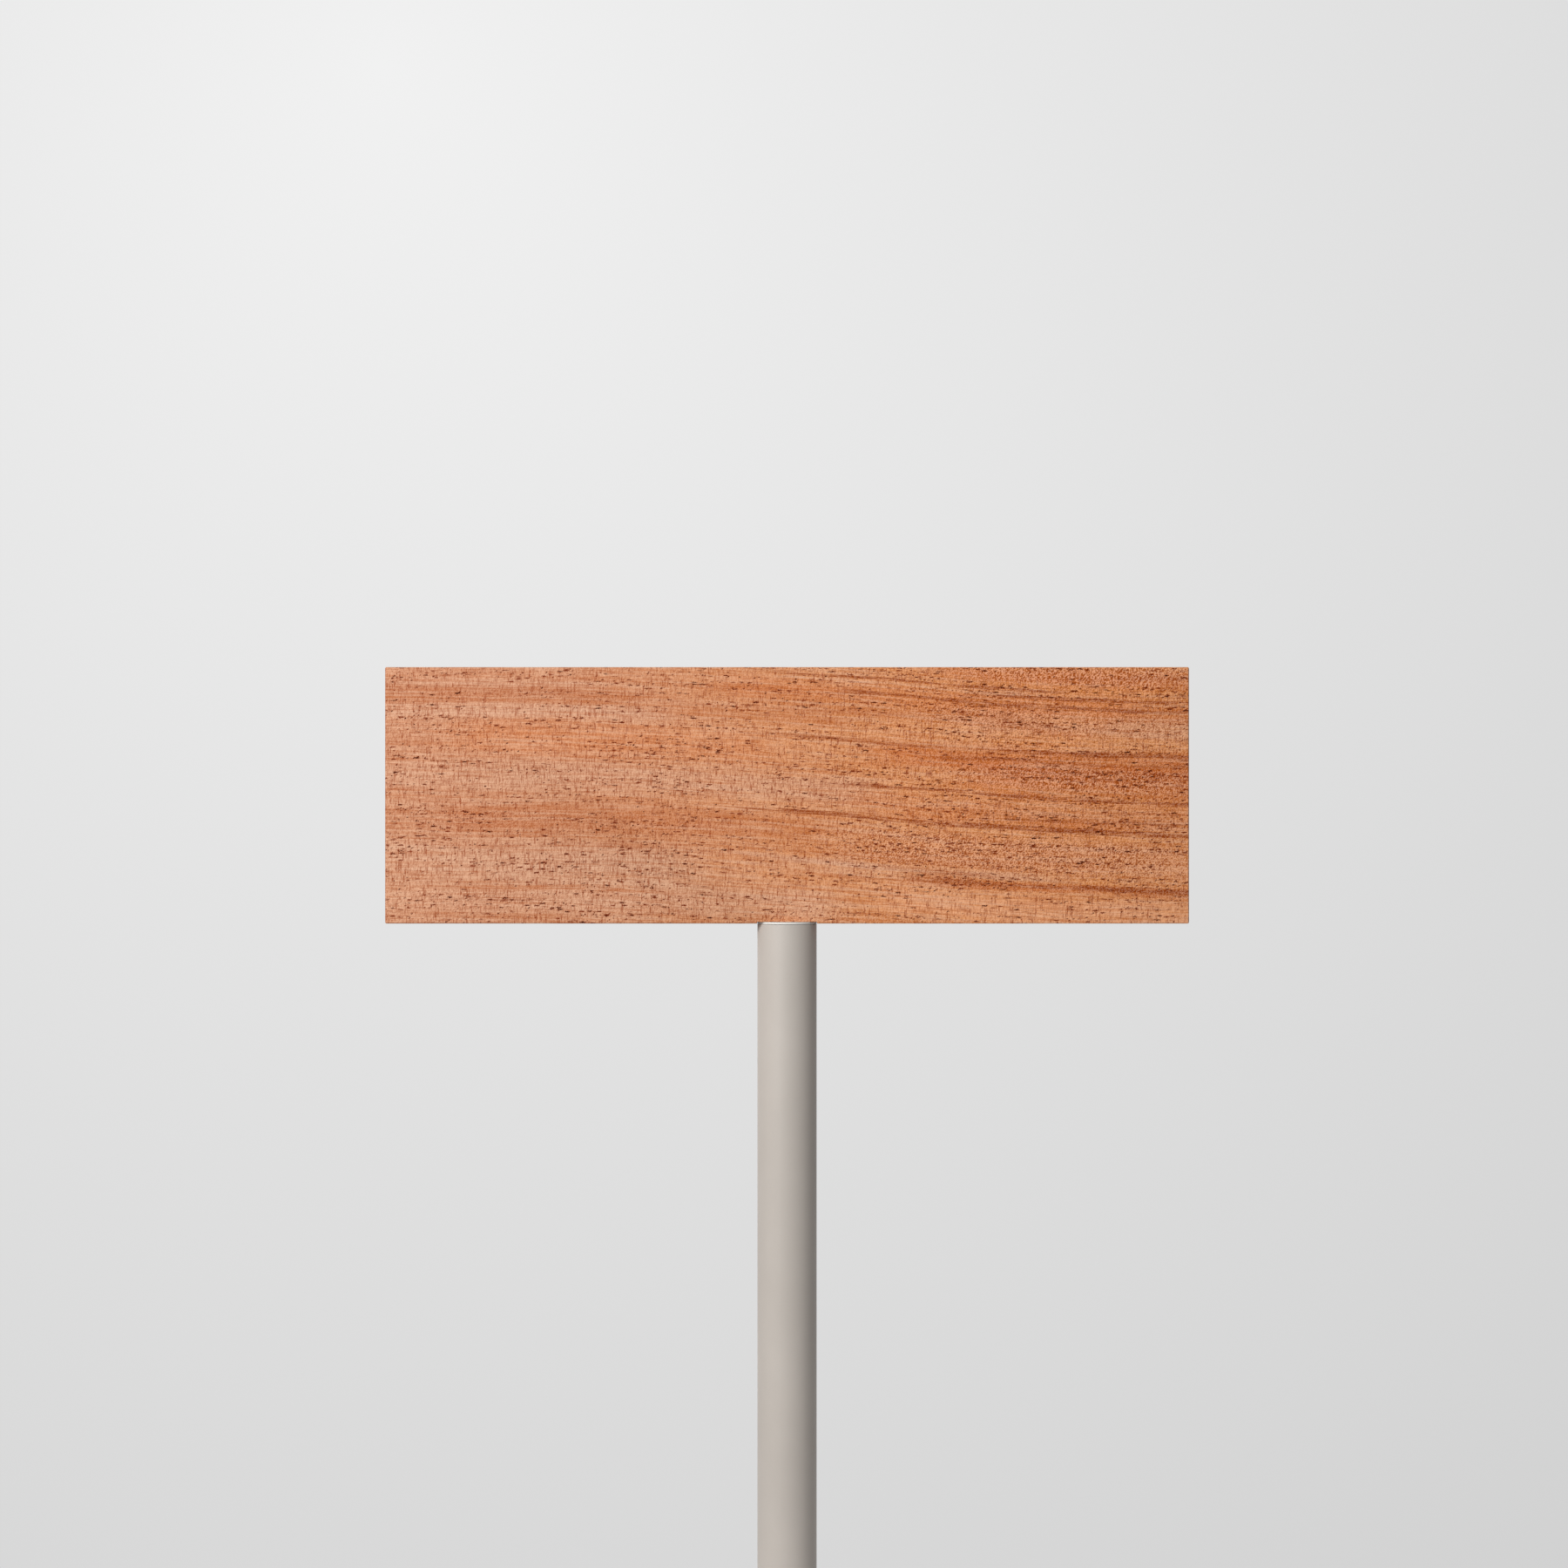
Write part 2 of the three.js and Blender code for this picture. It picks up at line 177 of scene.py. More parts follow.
def mixed(tree, share, first, second):
    """Mixes two colours and gives the result. The node keeps its colours in sockets 6 and 7."""
    return add_node(tree, "ShaderNodeMix", {0: share, 6: first, 7: second}, data_type="RGBA").outputs[2]


def times(tree, first, second):
    """The product of two numbers or sockets."""
    return calculate(tree, "MULTIPLY", first, second)


def vector_of(tree, x=0.0, y=0.0, z=0.0):
    """A vector of numbers or sockets."""
    return add_node(tree, "ShaderNodeCombineXYZ", {"X": x, "Y": y, "Z": z}).outputs[0]


def noise(tree, place, size, detail=2.0, roughness=0.5):
    """Soft noise whose blobs are about as long as size says, in millimetres along X, Y and Z."""
    scaled = add_node(tree, "ShaderNodeVectorMath", {0: place, 1: size}, operation="DIVIDE").outputs[0]
    inputs = {"Vector": scaled, "Scale": 1.0, "Detail": detail, "Roughness": roughness}
    return add_node(tree, "ShaderNodeTexNoise", inputs).outputs[0]


def new_group(name, kind, inputs, outputs):
    """A node group with named inputs, each a socket type and a first value, and named outputs."""
    group = bpy.data.node_groups.new(name, kind)
    for title, (socket_type, value) in inputs.items():
        socket = group.interface.new_socket(title, in_out="INPUT", socket_type=socket_type)
        if value is not None:
            socket.default_value = value
    for title, socket_type in outputs.items():
        group.interface.new_socket(title, in_out="OUTPUT", socket_type=socket_type)
    return group, group.nodes.new("NodeGroupInput").outputs, group.nodes.new("NodeGroupOutput").inputs


def new_material(name):
    """A material with a Principled shader, and an object place in millimetres to draw its pattern by."""
    material = bpy.data.materials.new(name)
    material.use_nodes = True
    tree = material.node_tree
    tree.nodes.clear()
    shader = add_node(tree, "ShaderNodeBsdfPrincipled")
    add_node(tree, "ShaderNodeOutputMaterial", {"Surface": shader.outputs[0]})
    coordinates = add_node(tree, "ShaderNodeTexCoord").outputs["Object"]
    inputs = {0: coordinates, "Scale": 1 / mm}
    place = add_node(tree, "ShaderNodeVectorMath", inputs, operation="SCALE").outputs[0]
    return material, tree, shader, place


def add_bump(tree, shader, height, depth):
    """depth is how far, in metres, a height of one stands out."""
    bump = add_node(tree, "ShaderNodeBump", {"Height": height, "Distance": depth})
    tree.links.new(bump.outputs["Normal"], shader.inputs["Normal"])


# Dust settles in patches on faces that look up.
dust_group, given, result = new_group(
    "settled dust",
    "ShaderNodeTree",
    {
        "Place": ("NodeSocketVector", None),
        "Amount": ("NodeSocketFloat", 0.5),
        "Patch": ("NodeSocketFloat", 30.0),
    },
    {"Dust": "NodeSocketFloat"},
)
normal = add_node(dust_group, "ShaderNodeNewGeometry").outputs["Normal"]
upward = add_node(dust_group, "ShaderNodeSeparateXYZ", {0: normal}).outputs["Z"]
upward = reach(dust_group, upward, 0.25, 0.95)
patch_size = vector_of(dust_group, given["Patch"], given["Patch"], given["Patch"])
patches = noise(dust_group, given["Place"], patch_size, detail=5.0)
patches = reach(dust_group, patches, 0.35, 0.7, 0.3, 1.0)
lying = times(dust_group, upward, patches)
lying = times(dust_group, lying, given["Amount"])
dust_group.links.new(lying, result["Dust"])
dust_colour = paint(168, 160, 148)


def dusted(tree, place, colour, amount, patch):
    """Lays dust over a colour and gives the new colour and the dust's mask."""
    inputs = {"Place": place, "Amount": amount, "Patch": patch}
    dust = add_node(tree, "ShaderNodeGroup", inputs, node_tree=dust_group).outputs["Dust"]
    return mixed(tree, dust, colour, dust_colour), dust


# Powder coat flows into a fine orange peel, here with a mask of the same blobs for the sheen.
peel_group, given, result = new_group(
    "orange peel",
    "ShaderNodeTree",
    {"Place": ("NodeSocketVector", None), "Blob": ("NodeSocketFloat", 1.6)},
    {"Height": "NodeSocketFloat", "Sheen": "NodeSocketFloat"},
)
blob = vector_of(peel_group, given["Blob"], given["Blob"], given["Blob"])
peel = noise(peel_group, given["Place"], blob, detail=1.5)
grit = noise(peel_group, given["Place"], (0.35, 0.35, 0.35), detail=1.0)
grit = times(peel_group, grit, 0.25)
peel_group.links.new(calculate(peel_group, "ADD", peel, grit), result["Height"])
peel_group.links.new(reach(peel_group, peel, 0.3, 0.7), result["Sheen"])

coat_light = paint(189, 181, 173)
coat_dark = paint(183, 175, 167)
coat_speck = paint(120, 112, 104)
powder_coat, tree, shader, place = new_material("powder_coat")
cloudy = reach(tree, noise(tree, place, (90, 90, 140), detail=4.0), 0.3, 0.7)
specks = reach(tree, noise(tree, place, (0.8, 0.8, 0.8), detail=1.0), 0.66, 0.78, 0.0, 0.12)
colour = mixed(tree, cloudy, coat_light, coat_dark)
colour = mixed(tree, specks, colour, coat_speck)
colour, dust = dusted(tree, place, colour, amount=0.45, patch=26.0)
tree.links.new(colour, shader.inputs["Base Color"])
peel = add_node(tree, "ShaderNodeGroup", {"Place": place}, node_tree=peel_group).outputs
coat_roughness = reach(tree, peel["Sheen"], 0.0, 1.0, 0.5, 0.58)
dust_roughness = reach(tree, dust, 0.0, 0.4, 0.5, 0.8)
rougher = calculate(tree, "MAXIMUM", coat_roughness, dust_roughness)
tree.links.new(rougher, shader.inputs["Roughness"])
shader.inputs["Specular IOR Level"].default_value = 0.35
add_bump(tree, shader, peel["Height"], 0.03 * mm)

same_point = 0.005 * mm
same_plane = math.radians(0.5)
eased_from = math.radians(25)
seen_as_edge_from = math.radians(32)


def finished(name, mesh, material):
    """Shades a mesh smooth but for its edges and makes it a piece of the scene."""
    mesh.shade_smooth()
    mesh.set_sharp_from_angle(angle=seen_as_edge_from)
    mesh.materials.clear()
    mesh.materials.append(material)
    piece = bpy.data.objects.new(name, mesh)
    scene.collection.objects.link(piece)
    return piece


def eased_copy(node, name, easing, material):
    """A copy of a solid's mesh as whole faces, with its sharp edges rounded off by easing."""
    work = bmesh.new()
    work.from_mesh(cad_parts[node].data)
    bmesh.ops.remove_doubles(work, verts=work.verts, dist=same_point)
    bmesh.ops.dissolve_limit(work, angle_limit=same_plane, verts=work.verts, edges=work.edges)
    sharp = [edge for edge in work.edges if edge.calc_face_angle(0) > eased_from]
    bmesh.ops.bevel(
        work, geom=sharp, offset=easing, segments=3, profile=0.5, affect="EDGES", clamp_overlap=True
    )
    mesh = bpy.data.meshes.new(name)
    work.to_mesh(mesh)
    work.free()
    if "custom_normal" in mesh.attributes:
        mesh.attributes.remove(mesh.attributes["custom_normal"])
    return finished(name, mesh, material)


def stand_for(piece, slot, *nodes):
    """The piece moves with the sign and takes the place of plain solids. slot is not used."""
    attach(piece, "root")
    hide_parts(*nodes)


foot_plate = eased_copy("base_flange", "foot_plate", 0.5 * mm, powder_coat)
stand_for(foot_plate, "powder_coat", "base_flange")


# Post
# A round tube, 60.3 mm across with a 2.9 mm wall, sawn square and deburred at its ends.
# It stands on the foot plate, and its bore is closed at the top by a welded disc.
def grow(name, tree, places, values, material, edges=()):
    """Runs a geometry tree on a mesh of places and keeps what it makes as a plain piece."""
    place_mesh = bpy.data.meshes.new(name + "_places")
    place_mesh.from_pydata(places, edges, [])
    holder = bpy.data.objects.new(name + "_places", place_mesh)
    scene.collection.objects.link(holder)
    modifier = holder.modifiers.new("shape", "NODES")
    modifier.node_group = tree
    sockets = {item.name: item.identifier for item in tree.interface.items_tree if item.in_out == "INPUT"}
    for title, value in dict(values, Material=material).items():
        modifier[sockets[title]] = value
    mesh = bpy.data.meshes.new_from_object(holder.evaluated_get(bpy.context.evaluated_depsgraph_get()))
    bpy.data.objects.remove(holder)
    work = bmesh.new()
    work.from_mesh(mesh)
    bmesh.ops.remove_doubles(work, verts=work.verts, dist=same_point)
    bmesh.ops.recalc_face_normals(work, faces=work.faces)
    work.to_mesh(mesh)
    work.free()
    mesh.name = name
    return finished(name, mesh, material)


def new_tree(name, sizes):
    """A geometry tree with named sizes in metres, counts or turns, and the piece's material."""
    kinds = {float: "NodeSocketFloat", int: "NodeSocketInt", tuple: "NodeSocketVector"}
    inputs = {"Geometry": ("NodeSocketGeometry", None)}
    inputs.update({title: (kinds[type(value)], value) for title, value in sizes.items()})
    inputs["Material"] = ("NodeSocketMaterial", None)
    return new_group(name, "GeometryNodeTree", inputs, {"Geometry": "NodeSocketGeometry"})


def end_tree(tree, given, result, shape):
    """Ends a tree: the shape gets the piece's material and is what the tree gives."""
    inputs = {"Geometry": shape, "Material": given["Material"]}
    coated = add_node(tree, "GeometryNodeSetMaterial", inputs)
    tree.links.new(coated.outputs[0], result["Geometry"])


def repeat_on_places(tree, given, result, shape):
    """Ends a tree with one turned copy of the shape on each place."""
    copies = add_node(
        tree,
        "GeometryNodeInstanceOnPoints",
        {"Points": given["Geometry"], "Instance": shape, "Rotation": given["Turn"]},
    )
    real = add_node(tree, "GeometryNodeRealizeInstances", {0: copies.outputs[0]})
    end_tree(tree, given, result, real.outputs[0])


def moved(tree, shape, z):
    """Shifts a shape up by z."""
    inputs = {"Geometry": shape, "Translation": vector_of(tree, z=z)}
    return add_node(tree, "GeometryNodeTransform", inputs).outputs[0]


# A ring: a rectangle with eased corners, swept round an upright axis from the place upwards.
ring_tree, given, result = new_tree(
    "ring",
    {
        "Inner Radius": 5.0 * mm,
        "Outer Radius": 10.0 * mm,
        "Height": 2.0 * mm,
        "Easing": 0.2 * mm,
        "Sides": 48,
        "Turn": (0.0, 0.0, 0.0),
    },
)
wall = calculate(ring_tree, "SUBTRACT", given["Outer Radius"], given["Inner Radius"])
both_radii = calculate(ring_tree, "ADD", given["Outer Radius"], given["Inner Radius"])
middle_radius = times(ring_tree, both_radii, 0.5)
section = add_node(
    ring_tree, "GeometryNodeCurvePrimitiveQuadrilateral", {"Width": wall, "Height": given["Height"]}
)
section = add_node(
    ring_tree,
    "GeometryNodeFilletCurve",
    {"Curve": section.outputs[0], "Count": 3, "Radius": given["Easing"], "Limit Radius": True},
    mode="POLY",
)
path = add_node(
    ring_tree, "GeometryNodeCurvePrimitiveCircle", {"Resolution": given["Sides"], "Radius": middle_radius}
)
path = add_node(ring_tree, "GeometryNodeSetCurveNormal", {0: path.outputs[0]}, mode="Z_UP")
swept = add_node(
    ring_tree, "GeometryNodeCurveToMesh", {"Curve": path.outputs[0], "Profile Curve": section.outputs[0]}
)
half_height = times(ring_tree, given["Height"], 0.5)
repeat_on_places(ring_tree, given, result, moved(ring_tree, swept.outputs[0], half_height))

tube_low, tube_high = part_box("post_tube")
tube_radius = tube_high.x
tube_wall = 2.9 * mm
post_values = {
    "Inner Radius": tube_radius - tube_wall,
    "Outer Radius": tube_radius,
    "Height": tube_high.z - tube_low.z,
    "Easing": 0.5 * mm,
    "Sides": 128,
}
coated_post = grow("coated_post", ring_tree, [(0, 0, tube_low.z)], post_values, powder_coat)
stand_for(coated_post, "powder_coat", "post_tube")


# Foot weld
# The tube is welded to the plate all round. The bead has the ripples that each pool of weld leaves,
# and is coated with the rest.
ripple_length = 2.2 * mm
bead_sides = 28
weld_tree, given, result = new_tree(
    "weld bead",
    {
        "Leg": 4.7 * mm,
        "Fullness": 1.3,
        "Ripple Length": ripple_length,
        "Ripple Height": 0.22 * mm,
        "Ripple Bow": 0.8,
        "Open Ends": 0.0,
        "Seed": 3.0,
    },
)


def captured(tree, geometry, title, value):
    """Keeps a value on a geometry's points while later nodes reshape it. Gives both of them."""
    node = add_node(tree, "GeometryNodeCaptureAttribute", {0: geometry})
    node.capture_items.new("FLOAT", title)
    tree.links.new(value, node.inputs[title])
    return node.outputs[0], node.outputs[title]


line = add_node(weld_tree, "GeometryNodeMeshToCurve", {0: given["Geometry"]})
line = add_node(weld_tree, "GeometryNodeSetCurveNormal", {0: line.outputs[0]}, mode="Z_UP")
length_along = add_node(weld_tree, "GeometryNodeSplineParameter").outputs["Length"]
line, travelled = captured(weld_tree, line.outputs[0], "Length Along", length_along)

# Its section lies between a triangle and a quarter of a disc. How far each of its points is off the
# middle is kept, to bow the ripples.
circle = add_node(weld_tree, "GeometryNodeCurvePrimitiveCircle", {"Resolution": bead_sides, "Radius": 1.0})
point = add_node(weld_tree, "GeometryNodeInputPosition").outputs[0]
point = add_node(weld_tree, "ShaderNodeSeparateXYZ", {0: point}).outputs
off_middle = calculate(weld_tree, "ADD", point["X"], point["Y"])
section, off_middle = captured(weld_tree, circle.outputs[0], "Off Middle", off_middle)
power = calculate(weld_tree, "DIVIDE", 2.0, given["Fullness"])
outward = calculate(weld_tree, "POWER", calculate(weld_tree, "MAXIMUM", point["X"], 0.0), power)
outward = times(weld_tree, outward, given["Leg"])
upward = calculate(weld_tree, "MAXIMUM", times(weld_tree, point["Y"], -1.0), 0.0)
upward = times(weld_tree, calculate(weld_tree, "POWER", upward, power), given["Leg"])
downward = times(weld_tree, upward, -1.0)
reshaped = {"Geometry": section, "Position": vector_of(weld_tree, outward, downward)}
section = add_node(weld_tree, "GeometryNodeSetPosition", reshaped)

# An open bead swells from a third of its size at its start and dies away in the same way at its end.
whole_length = add_node(weld_tree, "GeometryNodeSplineLength").outputs["Length"]
still_to_go = calculate(weld_tree, "SUBTRACT", whole_length, length_along)
to_end = calculate(weld_tree, "MINIMUM", length_along, still_to_go)
to_end = calculate(weld_tree, "DIVIDE", to_end, given["Leg"])
thinned = calculate(weld_tree, "SUBTRACT", 1.0, reach(weld_tree, to_end, 0.0, 1.0, 0.35, 1.0))
thinned = times(weld_tree, thinned, given["Open Ends"])
bead = add_node(
    weld_tree,
    "GeometryNodeCurveToMesh",
    {
        "Curve": line,
        "Profile Curve": section.outputs[0],
        "Scale": calculate(weld_tree, "SUBTRACT", 1.0, thinned),
        "Fill Caps": True,
    },
)
ripple = calculate(weld_tree, "DIVIDE", travelled, given["Ripple Length"])
bow = times(weld_tree, calculate(weld_tree, "POWER", off_middle, 2.0), given["Ripple Bow"])
bowed = calculate(weld_tree, "ADD", ripple, bow)
wave = calculate(weld_tree, "SINE", times(weld_tree, bowed, math.pi))
wave = calculate(weld_tree, "ABSOLUTE", wave)
unsteady = add_node(
    weld_tree,
    "ShaderNodeTexNoise",
    {"W": calculate(weld_tree, "ADD", ripple, given["Seed"]), "Scale": 0.7},
    noise_dimensions="1D",
)
lift = calculate(weld_tree, "ADD", wave, unsteady.outputs[0])
lift = times(weld_tree, lift, given["Ripple Height"])
outside = add_node(weld_tree, "GeometryNodeInputNormal").outputs[0]
push = add_node(weld_tree, "ShaderNodeVectorMath", {0: outside, "Scale": lift}, operation="SCALE")
rippled = add_node(
    weld_tree, "GeometryNodeSetPosition", {"Geometry": bead.outputs[0], "Offset": push.outputs[0]}
)
end_tree(weld_tree, given, result, rippled.outputs[0])

weld_step = 0.4 * mm
plate_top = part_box("base_flange")[1].z
weld_round = 2 * math.pi * tube_radius
weld_points = round(weld_round / weld_step)
weld_turns = [2 * math.pi * step / weld_points for step in range(weld_points)]
weld_line = [(tube_radius * math.cos(turn), tube_radius * math.sin(turn), plate_top) for turn in weld_turns]
weld_edges = [(step, (step + 1) % weld_points) for step in range(weld_points)]
weld_ripples = round(weld_round / ripple_length)
weld_values = {"Ripple Length": weld_round / weld_ripples}
foot_weld = grow("foot_weld", weld_tree, weld_line, weld_values, powder_coat, weld_edges)
stand_for(foot_weld, "powder_coat", "base_weld")


# Head plug
# A steel disc welded into the top of the tube, flush with its end.
# It closes the bore and carries the spine.
def dress(node, material):
    """A plain solid whose shape is right keeps its mesh and gets a finish."""
    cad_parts[node].material_slots[0].material = material


dress("post_head_plug", powder_coat)


# Spine
# A flat bar, 40 by 8 mm, that stands on the plug and lies flush in the board's back. Its lowest hole is
# round and the others are slots, so the plank can swell and shrink. It is welded at its foot, behind.
back_spine = eased_copy("mounting_spine", "back_spine", 0.6 * mm, powder_coat)
stand_for(back_spine, "powder_coat", "mounting_spine")

spine_weld_low, spine_weld_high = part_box("spine_weld")
spine_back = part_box("mounting_spine")[1].y
plug_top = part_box("post_head_plug")[1].z
spine_weld_length = spine_weld_high.x - spine_weld_low.x
spine_weld_points = round(spine_weld_length / weld_step)
spine_weld_line = [
    (spine_weld_high.x - spine_weld_length * step / spine_weld_points, spine_back, plug_top)
    for step in range(spine_weld_points + 1)
]
spine_weld_edges = [(step, step + 1) for step in range(spine_weld_points)]
spine_weld_values = {"Leg": 3.8 * mm, "Ripple Length": 2.1 * mm, "Open Ends": 1.0, "Seed": 9.0}
spine_bead = grow(
    "spine_bead", weld_tree, spine_weld_line, spine_weld_values, powder_coat, spine_weld_edges
)
stand_for(spine_bead, "powder_coat", "spine_weld")


# Head spacer
# A disc of pale nylon, 2 mm thick, that keeps the wood off the end of the post.
# From the front it is a pale line.
marks_group, given, result = new_group(
    "rubbed marks",
    "ShaderNodeTree",
    {
        "Place": ("NodeSocketVector", None),
        "Length": ("NodeSocketFloat", 9.0),
        "Width": ("NodeSocketFloat", 0.25),
    },
    {"Marks": "NodeSocketFloat"},
)
one_way = vector_of(marks_group, given["Length"], given["Width"], given["Width"])
other_way = vector_of(marks_group, given["Width"], given["Width"], given["Length"])
first_marks = noise(marks_group, given["Place"], one_way, detail=3.0)
other_marks = noise(marks_group, given["Place"], other_way, detail=3.0)
marks_group.links.new(calculate(marks_group, "MAXIMUM", first_marks, other_marks), result["Marks"])


def rubbed(tree, shader, place, length, width, smooth, rough, depth):
    """Fine marks from handling, which roughen and dent the surface. Gives their mask."""
    inputs = {"Place": place, "Length": length, "Width": width}
    marks = add_node(tree, "ShaderNodeGroup", inputs, node_tree=marks_group).outputs["Marks"]
    tree.links.new(reach(tree, marks, 0.4, 0.75, smooth, rough), shader.inputs["Roughness"])
    add_bump(tree, shader, marks, depth)
    return marks


nylon_clean = paint(230, 228, 223)
nylon_worn = paint(216, 213, 206)
nylon, tree, shader, place = new_material("pale_nylon")
marks = rubbed(tree, shader, place, length=5.0, width=0.4, smooth=0.42, rough=0.58, depth=0.02 * mm)
colour = mixed(tree, reach(tree, marks, 0.4, 0.75), nylon_clean, nylon_worn)
tree.links.new(colour, shader.inputs["Base Color"])
nylon_spacer = eased_copy("head_spacer", "nylon_spacer", 0.3 * mm, nylon)
stand_for(nylon_spacer, "spacer", "head_spacer")


# Board
# One plank of oiled red-brown hardwood, 815 by 260 by 40 mm, sawn on the quarter so that its rays show
# as fine upright ticks. The grain sinks to the right. Its figure is solid and runs through to the ends
# and the back. The plank is held from behind, by the spine's screws.
grain_middle = 1170.0
sink_start, sink_end = -250.0, 420.0
sink_depth = 30.0
even_slope = 0.01
slope_through = 0.22

oiled_wood, tree, shader, place = new_material("oiled_hardwood")
parts = add_node(tree, "ShaderNodeSeparateXYZ", {0: place}).outputs
along = parts["X"]
sunk = reach(tree, along, sink_start, sink_end, 0.0, sink_depth)
sunk = calculate(tree, "ADD", sunk, times(tree, along, even_slope))
through = times(tree, parts["Y"], slope_through)
wander = reach(tree, noise(tree, place, (260, 60, 45), detail=2.0), 0.2, 0.8, -3.0, 3.0, "LINEAR")
across = calculate(tree, "SUBTRACT", parts["Z"], grain_middle)
for shift in (sunk, through, wander):
    across = calculate(tree, "ADD", across, shift)
grain = vector_of(tree, along, parts["Y"], across)

# A stripe lies along the grain between two ends, with soft edges.
stripe_group, given, result = new_group(
    "stripe",
    "ShaderNodeTree",
    {
        "Grain": ("NodeSocketVector", None),
        "Middle": ("NodeSocketFloat", 0.0),
        "Half Height": ("NodeSocketFloat", 5.0),
        "Left": ("NodeSocketFloat", -400.0),
        "Right": ("NodeSocketFloat", 400.0),
        "Fade": ("NodeSocketFloat", 60.0),
    },
    {"Mask": "NodeSocketFloat"},
)
stripe_place = add_node(stripe_group, "ShaderNodeSeparateXYZ", {0: given["Grain"]}).outputs
gap = calculate(stripe_group, "SUBTRACT", stripe_place["Z"], given["Middle"])
gap = calculate(stripe_group, "ABSOLUTE", gap)
gap = calculate(stripe_group, "DIVIDE", gap, given["Half Height"])
inside = reach(stripe_group, gap, 0.3, 1.4, 1.0, 0.0)
begins = calculate(stripe_group, "SUBTRACT", stripe_place["X"], given["Left"])
begins = reach(stripe_group, calculate(stripe_group, "DIVIDE", begins, given["Fade"]), -0.5, 0.5)
stops = calculate(stripe_group, "SUBTRACT", given["Right"], stripe_place["X"])
stops = reach(stripe_group, calculate(stripe_group, "DIVIDE", stops, given["Fade"]), -0.5, 0.5)
both = times(stripe_group, begins, stops)
stripe_group.links.new(times(stripe_group, inside, both), result["Mask"])


def stripe(tree, grain, middle, half_height, left, right, fade=70.0):
    """The mask of one stripe, in millimetres. Its places are taken from the middle of the board."""
    inputs = {
        "Grain": grain,
        "Middle": middle,
        "Half Height": half_height,
        "Left": left,
        "Right": right,
        "Fade": fade,
    }
    return add_node(tree, "ShaderNodeGroup", inputs, node_tree=stripe_group).outputs["Mask"]


salmon_left = paint(208, 147, 110)
salmon_right = paint(240, 157, 85)
pale_pink = paint(226, 180, 148)
pale_salmon = paint(253, 184, 137)
smooth_pink = paint(232, 184, 150)
# The two speckle colours are a painted highlight pink and a painted shade brown, for the torn grain's fine
# relief.
flecks_highlight_pink = paint(235, 173, 139)
flecks_shade_brown = paint(148, 60, 0)
bright_orange = paint(222, 136, 78)
rust = paint(178, 86, 6)
deep_orange = paint(196, 92, 0)
dark_rust = paint(142, 60, 0)
pore_brown = paint(58, 16, 0)
rim_red = paint(132, 46, 0)
ray_red = paint(146, 62, 14)
end_brown = paint(128, 76, 48)
soft = noise(tree, grain, (300, 40, 7), detail=4.0, roughness=0.6)
colour = mixed(tree, reach(tree, along, -330.0, 330.0), salmon_left, salmon_right)
colour = mixed(tree, reach(tree, soft, 0.52, 0.70, 0.0, 0.35), colour, rust)
colour = mixed(tree, reach(tree, soft, 0.48, 0.30, 0.0, 0.40), colour, pale_pink)
uneven = reach(tree, noise(tree, grain, (120, 20, 5), detail=3.0), 0.3, 0.6, 0.5, 1.0)


def lay_stripes(tree, grain, colour, stripes, unevenness):
    """Lays stripes over a colour. Gives the new colour, and a mask of the pale pink stripes."""
    pale_share = 0.0
    for shade, strength, middle, half_height, left, right in stripes:
        mask = times(tree, stripe(tree, grain, middle, half_height, left, right), unevenness)
        share = times(tree, mask, strength)
        colour = mixed(tree, share, colour, shade)
        if shade == pale_pink:
            pale_share = calculate(tree, "MAXIMUM", share, pale_share)
    return colour, pale_share


# Broad stripes: colour and strength, then in millimetres the middle, half height, left and right end.
light_stripes = (
    (pale_pink, 0.85, 78, 8, -450, -120),
    (pale_pink, 0.60, 105, 5, -450, -200),
    (bright_orange, 0.60, 52, 18, -340, -20),
    (pale_pink, 0.60, 14, 16, -450, 90),
    (pale_pink, 0.80, -74, 20, -450, -100),
    (smooth_pink, 0.70, -112, 14, -450, -150),
    (smooth_pink, 0.45, 95, 14, 190, 450),
    (bright_orange, 0.60, 6, 10, 60, 450),
    (pale_salmon, 0.30, -40, 22, 150, 450),
    (pale_pink, 0.70, -60, 4, -20, 260),
    (bright_orange, 0.20, -90, 10, 60, 450),
    (smooth_pink, 0.80, -104, 18, -230, 50),
    (pale_salmon, 0.75, -92, 18, 90, 450),
)
colour, pale_share = lay_stripes(tree, grain, colour, light_stripes, uneven)

# Fine fibres cross with finer marks along the rays, like a weave.
fibres = noise(tree, grain, (24, 2, 0.8), detail=2.0, roughness=0.6)
cross_marks = noise(tree, grain, (0.9, 3, 5), detail=2.0, roughness=0.6)
for weave, strength in ((fibres, 0.5), (cross_marks, 0.35)):
    colour = mixed(tree, reach(tree, weave, 0.50, 0.62, 0.0, strength), colour, ray_red)
    colour = mixed(tree, reach(tree, weave, 0.50, 0.38, 0.0, strength * 0.7), colour, pale_pink)

# Broad stripes of rust lie over the weave, with fine lines between: the same measures.
rust_stripes = (
    (rust, 0.40, 95, 10, -450, -120),
    (dark_rust, 0.16, 96, 9, -450, -160),
    (rust, 0.45, -28, 16, -340, 40),
    (rust, 0.35, 84, 7, -130, 60),
    (deep_orange, 0.42, 112, 12, -60, 450),
    (deep_orange, 0.45, 143, 9, 150, 450),
    (rust, 0.42, 95, 7, -20, 250),
    (deep_orange, 0.64, 56, 14, 90, 450),
    (deep_orange, 0.54, 42, 14, 180, 450),
    (deep_orange, 0.35, 24, 8, 180, 450),
    (rust, 0.35, -49, 5, 0, 230),
    (deep_orange, 0.65, -70, 5, 130, 450),
    (deep_orange, 0.40, -6, 6, 100, 450),
)
colour = lay_stripes(tree, grain, colour, rust_stripes, uneven)[0]
